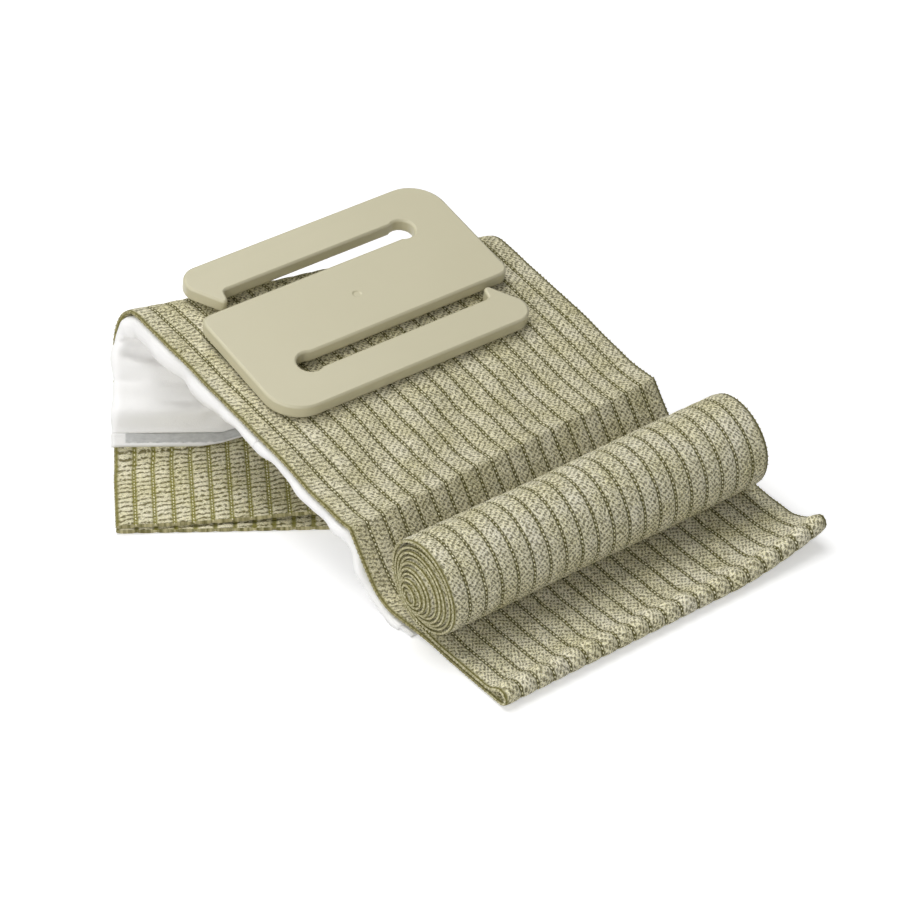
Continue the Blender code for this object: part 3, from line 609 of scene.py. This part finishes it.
# Front fold, return layer and wound roll, one unbroken stretch of the strip
rollWrap = dict(columns=81, outerStep=0.0010, innerStep=0.0016, fineTurns=1.2, pathStep=0.0002, pathSoft=2.0,
                noseY=-0.0107, puffRadius=0.0019, underY=-0.006, noseTurn=(-90, -285), nosePoints=14,
                settle=((-0.0062, 0.0033), (-0.0048, 0.0024)), layerY=-0.0030, tangentY=0.0232,
                layerPoints=24, radius=0.0131, firstPitch=0.00175, pitch=0.00114, turns=9.9, turnPoints=90,
                outOfRound=0.018, ovalTurn=0.9, settleTurns=(0.0, 0.5), offCentre=0.00045,
                offWay=(0.75, -0.65), offTurns=(0.55, 0.7), thinner=0.00012, foldRows=(0.006, 0.0075),
                hingeRise=0.002, waveTurns=1.3,
                waves=dict(seed=57, count=3, length=0.020, height=0.00012))
# End of the roll: how far its turns slide out, and how unevenly
rollEnd = dict(telescope=0.0045, wobble=0.00030, wobblePerTurn=4.1, wobblePhase=0.6, wobbleTurns=(0.6, 0.8))
# The flap is relaxed and wider at its far end, where its front corner curls up; its front edge is scalloped
flap = dict(farReach=0.0035, widerRows=(0.0, 0.006), widerTurns=(0.02, 0.12), cornerU=(0.022, 0.028),
            cornerPower=1.5, cornerReach=0.0015, cornerFlat=0.25, cornerFront=(0.004, 0.0065), lift=0.0049,
            liftFront=(-0.005, 0.0155), underLift=0.0036, upperRows=(0.0045, 0.006), scallop=0.0008,
            scallopRow=0.0125, scallopSoft=0.0030, calmRows=(0.010, 0.006),
            waves=dict(seed=51, count=3, length=0.012, height=0.00012))

def rollPath():
    half, radius = wrap["thickness"] / 2, rollWrap["puffRadius"]
    centre = np.array([rollWrap["noseY"] + radius, half + radius])
    points = [(stepWrap["startY"], half), (rollWrap["underY"], half)]
    for turn in np.radians(np.linspace(*rollWrap["noseTurn"], rollWrap["nosePoints"])):
        points.append(tuple(centre + radius * np.array([math.cos(turn), math.sin(turn)])))
    points += rollWrap["settle"]
    for y in np.linspace(rollWrap["layerY"], rollWrap["tangentY"], rollWrap["layerPoints"]):
        reach = np.interp(y, leadPath[:, 0], leadReach)
        turnY, turnZ = leadAt(reach, leadTurn)
        normal = np.array([-turnZ, turnY])
        points.append(tuple(leadAt(reach, leadPath) + normal * (wrap["gap"] + half)))
    centre = np.array(points[-1]) + normal * rollWrap["radius"]
    turns = np.linspace(0.0, rollWrap["turns"], int(rollWrap["turns"] * rollWrap["turnPoints"]))[1:]
    angle = math.atan2(normal[1], normal[0]) - math.pi + turns * 2 * math.pi
    reach = rollWrap["radius"] - rollWrap["firstPitch"] * np.minimum(turns, 1.0)
    reach = reach - rollWrap["pitch"] * np.maximum(turns - 1.0, 0.0)
    oval = np.cos(2 * (angle - rollWrap["ovalTurn"])) * ramp(turns, *rollWrap["settleTurns"])
    reach = reach * (1 + rollWrap["outOfRound"] * oval)
    winding = centre + reach[:, None] * np.stack([np.cos(angle), np.sin(angle)], axis=1)
    # the inner turns sit back and low, so the outermost one stands off at the front
    off = rollWrap["offCentre"] * np.array(rollWrap["offWay"])
    winding += off * ramp(turns, *rollWrap["offTurns"])[:, None]
    return np.concatenate([np.array(points), winding]), np.concatenate([np.zeros(len(points)), turns])

def buildRoll():
    path, turnAt = rollPath()
    reach = lengthAlong(path)
    inside = np.interp(rollWrap["fineTurns"], turnAt, reach)
    rows = np.concatenate([np.arange(0.0, inside, rollWrap["outerStep"]),
                           np.arange(inside, reach[-1], rollWrap["innerStep"])])[::-1]
    fine = np.linspace(0.0, reach[-1], int(reach[-1] / rollWrap["pathStep"]))
    smooth = np.stack([np.interp(fine, reach, path[:, k]) for k in (0, 1)], axis=1)
    smooth = smoothRows(smooth, rollWrap["pathSoft"])
    y, z = (np.interp(rows, fine, smooth[:, k])[:, None] for k in (0, 1))
    turns = np.interp(rows, reach, turnAt)[:, None]
    run = rows[:, None]
    columns = np.linspace(-wrap["halfWidth"], wrap["halfWidth"], rollWrap["columns"])
    u = columns[None, :]
    uneven = np.sin(turns * rollEnd["wobblePerTurn"] + rollEnd["wobblePhase"])
    slide = rollEnd["wobble"] * uneven * ramp(turns, *rollEnd["wobbleTurns"])
    slide = slide - rollEnd["telescope"] * ramp(turns, 1.0, rollWrap["turns"] - 1.0)
    wider = ramp(run, *flap["widerRows"]) * (1 - ramp(turns, *flap["widerTurns"]))
    x = u + slide + flap["farReach"] * ramp(u, 0.0, wrap["halfWidth"]) * wider
    cornerStart, cornerWidth = flap["cornerU"]
    corner = np.clip((u - cornerStart) / cornerWidth, 0.0, 1.0) ** flap["cornerPower"] * (turns <= 0)
    ahead = corner * ramp(-y, *flap["cornerFront"])
    upper = ramp(run, *flap["upperRows"])
    lift = flap["lift"] * corner * ramp(-y, *flap["liftFront"]) * upper
    lift = lift + flap["underLift"] * ahead * (1 - upper)
    half = wrap["thickness"] / 2
    z = half + (z - half) * (1 - flap["cornerFlat"] * ahead) + lift
    points = np.stack([x, y + flap["cornerReach"] * ahead, z], axis=-1)
    front = np.exp(-((run - flap["scallopRow"]) / flap["scallopSoft"]) ** 2)
    cell = 0.5 - 0.5 * np.cos(2 * np.pi * u / wrap["ribPitch"])
    thickness = wrap["thickness"] - rollWrap["thinner"] * ramp(turns, *rollWrap["settleTurns"])
    onFlap = (turns <= 0) * ramp(run, *flap["calmRows"])
    onRoll = (turns > 0) * (turns < rollWrap["waveTurns"])
    relief = thickness / 2 - flap["scallop"] * cell * front
    relief = relief + onFlap * wrinkles(u, run, **flap["waves"])
    relief = relief + onRoll * wrinkles(u, run, **rollWrap["waves"])
    weight = np.broadcast_to(ramp(run, *rollWrap["foldRows"]), x.shape)
    v = np.broadcast_to(reachAt(stepWrap["startY"]) - run, x.shape)
    # the knit of the roll and flap is the lighter copy of the outer knit, painted light
    faces = (woundKnitPaintedLight, woundKnitPaintedLight, woundYarn)
    obj, ringWeight = clothStrip("wrapRoll", points, columns, v, relief, weight, faces, thickness)
    hinge = np.array(joints["roll_lift"]["pos_m"])
    bendWith(obj, ringWeight, "base", "roll", hinge, hinge + np.array([0.0, 0.0, rollWrap["hingeRise"]]))
    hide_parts("wrap_roll")
    print("roll:", len(rows), "rows,", round(float(rows.max()) / mm), "mm of strip")
    return rows, turns[:, 0]

rollRows, rollTurns = buildRoll()

# Absorbent pad under the wrap: crowned, squeezed at the folds, with pleated sides
pad = dict(halfWidth=0.0512, inner=0.0497, topDepth=0.00155, edgeDepth=0.0046, crown=0.0018, crownPower=2.5,
           columns=91, sidePoints=3, tipY=0.029, rowStep=0.0010, backRows=160, floorGap=0.00012,
           endV=0.1317, endSlant=0.060, endDepth=0.0015, endHeight=0.0044, endTaper=0.72, endLength=0.006,
           shallowSoft=2.2, deepSoft=(4.5, 4.0), deepFrom=0.0025, creaseReach=0.010,
           fullerFrom=(0.042, 0.025), fullerTo=(0.088, 0.030), foldGap=0.0004, foldOpening=0.28,
           sideU=(0.040, 0.011), pleatAcross=0.2, rippleAcross=0.35,
           pleat=dict(seed=73, count=5, length=0.021, height=0.00034),
           ripple=dict(seed=71, count=6, length=0.010, height=0.00026))
# Soft hollows of the bunched facing below the fold: place across and along, half length, depth, half height
hollows = ((-0.0415, 0.1112, 0.0085, 0.0030, 0.0016), (-0.0345, 0.1230, 0.0060, 0.0005, 0.0009),
           (-0.0262, 0.1222, 0.0034, 0.0006, 0.0009), (-0.0235, 0.1266, 0.0040, 0.0006, 0.0009),
           (-0.0470, 0.1178, 0.0060, 0.0004, 0.0011), (-0.0330, 0.1180, 0.0080, 0.0004, 0.0010))

def padSection():
    u = np.linspace(-pad["inner"], pad["inner"], pad["columns"])
    low = pad["edgeDepth"] + pad["crown"] * (1 - np.abs(u / pad["inner"]) ** pad["crownPower"])
    turn = np.pi * np.arange(1, pad["sidePoints"] + 1) / (pad["sidePoints"] + 1)
    sideU = pad["inner"] + (pad["halfWidth"] - pad["inner"]) * np.sin(turn)
    sideDepth = pad["topDepth"] + (low[-1] - pad["topDepth"]) * (1 - np.cos(turn)) / 2
    ringU = np.concatenate([u, sideU, u[::-1], -sideU])
    ringDepth = np.concatenate([np.full_like(u, pad["topDepth"]), sideDepth, low[::-1], sideDepth[::-1]])
    return ringU, ringDepth

def padEnd(u):
    clear = distanceToLength(u, footDistance(u, pad["endDepth"], pad["endHeight"]))
    return np.minimum(pad["endV"] - pad["endSlant"] * (u + wrap["halfWidth"]), clear)

def padHollows(u, v):
    total = np.zeros(u.shape)
    for placeU, placeV, halfLength, deep, halfHeight in hollows:
        lens = np.clip(1 - ((u - placeU) / halfLength) ** 2, 0.0, 1.0)
        total += deep * lens * np.exp(-((v - placeV) / halfHeight) ** 2)
    return total

def padPiece(name, u, v, points):
    points = points + above * slopeRelief(u, v)[..., None]
    aside = np.roll(points, -1, axis=1) - np.roll(points, 1, axis=1)
    normal = unit(np.cross(aside, np.gradient(points, axis=0)))
    ripple = wrinkles(u * pad["rippleAcross"], v, **pad["ripple"])
    pleat = wrinkles(u * pad["pleatAcross"], v, **pad["pleat"]) * ramp(np.abs(u), *pad["sideU"])
    bare = np.arange(u.shape[1]) >= pad["columns"]  # all but the face against the wrap
    points = points + normal * ((ripple + pleat - padHollows(u, v)) * bare)[..., None]
    points[..., 2] = np.maximum(points[..., 2], pad["floorGap"])
    uv = np.stack([u, v], axis=-1) / mm
    obj = ringMesh(name, points, uv, np.zeros(u.shape[1], int), (padFacing,), pad["columns"])
    return obj

def buildPadFront():
    ringU, ringDepth = padSection()
    rows = rowsToSeam(np.arange(reachAt(pad["tipY"]), panel["seam"], pad["rowStep"]), pad["rowStep"])
    u, v = np.broadcast_arrays(ringU[None, :], rows[:, None])
    points = wrapPoint(u, v, ringDepth)
    shallow, deep = smoothRows(points, pad["shallowSoft"]), points
    for reach in pad["deepSoft"]:
        deep = smoothRows(deep, reach)
    share = np.clip((ringDepth - pad["topDepth"]) / pad["deepFrom"], 0.0, 1.0)[None, :, None]
    points = softNear(points, shallow * (1 - share) + deep * share, v, pad["creaseReach"])
    obj = padPiece("padFront", u, v, points)
    bendWith(obj, bendShare(v), *creaseBend)
    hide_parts("pad_step_backing", "pad_step_core", "pad_step_facing", "pad_front_backing",
                "pad_front_core", "pad_front_facing")

def buildPadBack():
    ringU, ringDepth = padSection()
    end = padEnd(ringU)[None, :]
    v = panel["seam"] + (end - panel["seam"]) * np.linspace(0.0, 1.0, pad["backRows"])[:, None]
    u = np.broadcast_to(ringU, v.shape)
    taper = 1 - pad["endTaper"] * smoothStep(1 - (end - v) / pad["endLength"])
    fuller = 1 + ramp(v, *pad["fullerFrom"]) * (1 - ramp(v, *pad["fullerTo"]))
    depth = pad["topDepth"] + (ringDepth[None, :] - pad["topDepth"]) * taper * fuller
    # both halves of the pad press on each other inside the fold
    s = flatDistance(u, v)
    outOfFold = np.maximum(np.maximum(-s, s - foldEnd), 0.0)
    room = panel["foldRadius"] - pad["foldGap"] + pad["foldOpening"] * outOfFold
    obj = padPiece("padBack", u, v, wrapPoint(u, v, np.minimum(depth, room)))
    bendWith(obj, smoothStep(s / foldEnd), *ridgeBend)
    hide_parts("pad_back_backing", "pad_back_core", "pad_back_facing")

# Sealed hems of the pad; the end hem lies on the tail where it reaches it
hem = dict(width=0.0035, columns=101, rows=8, flatWidth=0.002, crimpAlong=0.3, upperCrimp=0.5, tipY=0.0245,
           endThickness=0.0009, tipThickness=0.0006, endRest=0.0032, endLeast=0.0006, tipRest=0.0006,
           tipFloor=0.0001, crimp=dict(seed=81, count=5, length=0.006, height=0.00018))

def buildHems():
    columns = np.linspace(-pad["halfWidth"], pad["halfWidth"], hem["columns"])
    u, w = np.broadcast_arrays(columns[None, :], np.linspace(0.0, hem["width"], hem["rows"])[:, None])
    crimp = wrinkles(u, w * hem["crimpAlong"], **hem["crimp"]) * ramp(w, 0.0, hem["flatWidth"])
    tipStart, tipEnd = reachAt(hem["tipY"]), reachAt(pad["tipY"])
    endV = padEnd(columns)[None, :] + w
    tipV = tipStart + (tipEnd - tipStart) * w / hem["width"]
    for name, body, node, v, thickness in (("padEndHem", "back", "pad_end_hem", endV, hem["endThickness"]),
                                           ("padTipHem", "base", "pad_tip_hem", tipV, hem["tipThickness"])):
        upper = wrapPoint(u, v, pad["topDepth"] + crimp * hem["upperCrimp"])
        lower = wrapPoint(u, v, pad["topDepth"] + thickness + crimp)
        atEnd = body == "back"
        upper[..., 2] = np.maximum(upper[..., 2], hem["endRest"] if atEnd else hem["tipRest"])
        least = upper[..., 2] + hem["endLeast"] if atEnd else hem["tipFloor"]
        lower[..., 2] = np.maximum(lower[..., 2], least)
        far, near = (upper[:, -1:] + lower[:, -1:]) / 2, (upper[:, :1] + lower[:, :1]) / 2
        rings = np.concatenate([upper, far, lower[:, ::-1], near], axis=1)
        uv = np.stack([aroundRing(u), aroundRing(w)], axis=-1) / mm
        obj = ringMesh(name, rings, uv, np.zeros(rings.shape[1], int), (sealedHem,), hem["columns"])
        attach(obj, body)
        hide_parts(node)

buildPadFront()
buildPadBack()
buildHems()
print("pad made")

# Moulded plate: the CAD solid, merged and shaded smooth over its rounded rims
plate = dict(weld=1e-6, flatCosine=0.99, wallCosine=0.05, sharpAngle=math.radians(50))

def buildPlate():
    mesh = frame["nodes"]["pressure_plate"].data.copy()
    mesh.name = "sPlate"
    axis = max(mesh.polygons, key=lambda face: face.area).normal.copy()
    shape = bmesh.new()
    shape.from_mesh(mesh)
    bmesh.ops.remove_doubles(shape, verts=shape.verts, dist=plate["weld"])
    shape.normal_update()
    kinds = {}  # flat faces, walls and rounded rims
    for face in shape.faces:
        cosine = abs(face.normal.dot(axis))
        kinds[face] = 0 if cosine > plate["flatCosine"] else 1 if cosine < plate["wallCosine"] else 2
        face.smooth = kinds[face] > 0
    for edge in shape.edges:
        first, second = edge.link_faces
        edge.smooth = kinds[first] == kinds[second] and edge.calc_face_angle() < plate["sharpAngle"]
    shape.to_mesh(mesh)
    shape.free()
    mesh.materials.clear()
    mesh.materials.append(mouldedAbs)
    obj = addObject("sPlate", mesh)
    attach(obj, "plate")
    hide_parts("pressure_plate")

buildPlate()
print("plate made")

# Stitches: the bright flecks of the elastic yarn along each rib line, and the binding of the selvedges
stitches = dict(spacing=0.0012, length=0.00086, width=0.00038, height=0.00032, seed=5, slant=0.0,
                rise=0.00008, edgeClear=0.001)
binding = dict(spacing=0.00125, length=0.00105, width=0.00034, height=0.00030, seed=8, slant=0.9, sunk=0.8)
stitchVary = dict(wobble=0.22, smallest=0.72, largest=1.12)
inSight = dict(firstTurn=(0.02, 1.02), flapStart=0.0075, boundTurns=1.05)  # what of the roll is stitched

def stitchTree():
    tree = bpy.data.node_groups.new("stitchesAlongLines", "GeometryNodeTree")
    kinds = dict(Geometry="Geometry", Seed="Int", Yarn="Material")
    for label in ("Geometry", "Spacing", "Length", "Width", "Height", "Slant", "Seed", "Yarn"):
        kind = "NodeSocket" + kinds.get(label, "Float")
        tree.interface.new_socket(label, in_out="INPUT", socket_type=kind)
    tree.interface.new_socket("Geometry", in_out="OUTPUT", socket_type="NodeSocketGeometry")
    add = partial(addNode, tree)
    given = add("NodeGroupInput").outputs
    line = add("GeometryNodeMeshToCurve", {"Mesh": given["Geometry"]})
    line = add("GeometryNodeResampleCurve", {"Curve": line, "Length": given["Spacing"]}, mode="LENGTH")
    along = add("GeometryNodeInputTangent")
    upward = add("GeometryNodeInputNamedAttribute", {"Name": "surfaceUp"}, data_type="FLOAT_VECTOR")
    turn = add("FunctionNodeAlignRotationToVector", {"Vector": along}, axis="X")
    upright = {"Rotation": turn, "Vector": upward}
    turn = add("FunctionNodeAlignRotationToVector", upright, axis="Z", pivot_axis="X")
    spread = []
    for low, high in ((-stitchVary["wobble"], stitchVary["wobble"]),
                      (stitchVary["smallest"], stitchVary["largest"])):
        limits = {"Min": low, "Max": high, "Seed": given["Seed"]}
        spread.append(add("FunctionNodeRandomValue", limits, data_type="FLOAT").outputs[1])
    slant = add("Math", {0: given["Slant"], 1: spread[0]}, operation="ADD")
    slant = add("FunctionNodeAxisAngleToRotation", {"Axis": (0.0, 0.0, 1.0), "Angle": slant})
    turn = add("FunctionNodeRotateRotation", {"Rotation": turn, "Rotate By": slant}, rotation_space="LOCAL")
    size = add("CombineXYZ", {0: given["Length"], 1: given["Width"], 2: given["Height"]})
    size = add("VectorMath", {0: size, "Scale": spread[1]}, operation="SCALE")
    bead = add("GeometryNodeMeshIcoSphere", {"Radius": 0.5, "Subdivisions": 1})
    bead = add("GeometryNodeSetShadeSmooth", {"Geometry": bead})
    beads = {"Points": line, "Instance": bead, "Rotation": turn, "Scale": size}
    beads = add("GeometryNodeInstanceOnPoints", beads)
    solid = add("GeometryNodeRealizeInstances", {"Geometry": beads})
    solid = add("GeometryNodeSetMaterial", {"Geometry": solid, "Material": given["Yarn"]})
    add("NodeGroupOutput", {"Geometry": solid})
    return tree

stitchNodes = stitchTree()

def sewAlong(name, lines, look, yarn, bodies):
    edges, first = [], 0
    for place, up, weight in lines:
        edges += [(first + k, first + k + 1) for k in range(len(place) - 1)]
        first += len(place)
    points, ups, weights = (np.concatenate(column) for column in zip(*lines))
    mesh = bpy.data.meshes.new(name + "Guide")
    mesh.from_pydata(points.tolist(), edges, [])
    upward = mesh.attributes.new("surfaceUp", "FLOAT_VECTOR", "POINT")
    upward.data.foreach_set("vector", ups.astype(np.float32).ravel())
    fold = mesh.attributes.new("foldWeight", "FLOAT", "POINT")
    fold.data.foreach_set("value", weights.astype(np.float32))
    guide = addObject(name + "Guide", mesh)
    modifier = guide.modifiers.new("stitches", "NODES")
    modifier.node_group = stitchNodes
    given = dict(look, yarn=yarn)
    for item in stitchNodes.interface.items_tree:
        if item.name.lower() in given:
            modifier[item.identifier] = given[item.name.lower()]
    made = bpy.data.meshes.new_from_object(guide.evaluated_get(bpy.context.evaluated_depsgraph_get()))
    made.name = name
    bpy.data.objects.remove(guide)
    obj = addObject(name, made)
    kept = np.zeros(len(made.vertices), np.float32)
    made.attributes["foldWeight"].data.foreach_get("value", kept)
    bendWith(obj, kept, *bodies, (0.0, 0.0, 0.0), (0.0, 0.0, 0.01))
    return obj

def ribLines(strip, rows, face):
    sign = 1 if face == "outer" else -1
    ribs = strip["u"] / wrap["ribPitch"]
    onRib = np.abs(ribs - np.round(ribs)) < 0.01
    onRib &= np.abs(strip["u"]) < wrap["halfWidth"] - stitches["edgeClear"]
    lines = []
    for column in np.flatnonzero(onRib):
        up = strip["normal"][rows, column] * sign
        place = strip[face][rows, column] + up * stitches["rise"]
        lines.append((place, up, strip["weight"][rows, column]))
    return lines

def edgeLines(strip, rows):
    lines = []
    for column, inward in ((0, 1), (-1, -2)):
        side = unit(strip["outer"][rows, column] - strip["outer"][rows, inward])
        middle = (strip["outer"][rows, column] + strip["inner"][rows, column]) / 2
        place = middle + side * wrap["edgeRound"] * binding["sunk"]
        lines.append((place, side, strip["weight"][rows, column]))
    return lines

def sewAll():
    start, end = inSight["firstTurn"]
    firstTurn = np.flatnonzero((rollTurns > start) & (rollTurns < end))
    onFlap = np.flatnonzero((rollTurns <= 0.0) & (rollRows > inSight["flapStart"]))
    bound = np.flatnonzero(rollTurns < inSight["boundTurns"])
    whole = slice(None)
    for name, bodies, faces, edgeRows, yarn in (
            ("wrapStep", ("base", "dressing"), ((whole, "outer"),), whole, bindingYarn),
            ("wrapRidge", ("dressing", "back"), ((whole, "outer"),), whole, bindingYarn),
            ("wrapTail", ("back", "tail"), ((whole, "inner"),), whole, bindingYarn),
            ("wrapRoll", ("base", "roll"), ((firstTurn, "outer"), (onFlap, "inner")), bound, woundBinding)):
        strip = strips[name]
        lines = [line for rows, face in faces for line in ribLines(strip, rows, face)]
        flecks = sewAlong(name + "Flecks", lines, stitches, fleckYarn, bodies)
        edging = sewAlong(name + "Binding", edgeLines(strip, edgeRows), binding, yarn, bodies)
        print(name, "sewn:", len(flecks.data.polygons) + len(edging.data.polygons), "faces of stitches")

sewAll()
